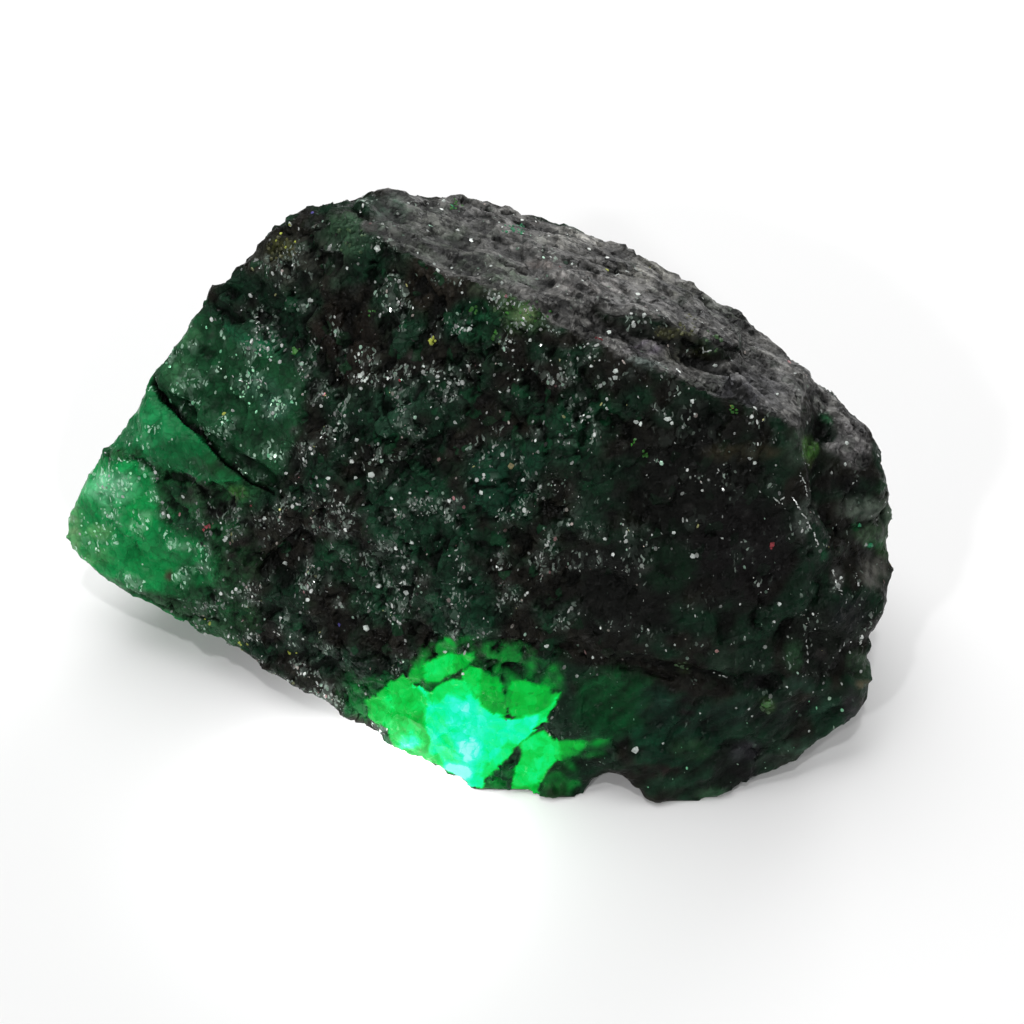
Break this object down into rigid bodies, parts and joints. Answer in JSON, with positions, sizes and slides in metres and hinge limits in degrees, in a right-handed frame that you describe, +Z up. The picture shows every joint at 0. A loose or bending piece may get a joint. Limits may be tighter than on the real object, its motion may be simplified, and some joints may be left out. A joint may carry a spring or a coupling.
{
  "type": "raw emerald crystal",
  "caption": "Raw emerald grown in a lump of dark mica schist, broken along its layers, with a green crystal end; a loose stone that rests on its own flat facet.",
  "frame": {"origin": "middle of the stone's bounding box in plan, on the surface that it rests on", "axes": "+X along the stone towards its stepped end, the green end at -X; +Y away from its best side; +Z up"},
  "size_m": [0.0724, 0.0444, 0.0384],
  "materials": {
    "emerald_schist": "near-black green schist, rough broken surface with fine glinting mica, waxy mid-green emerald at one end"
  },
  "bodies": {
    "root": {"raw_emerald": "emerald_schist"}
  },
  "joints": []
}
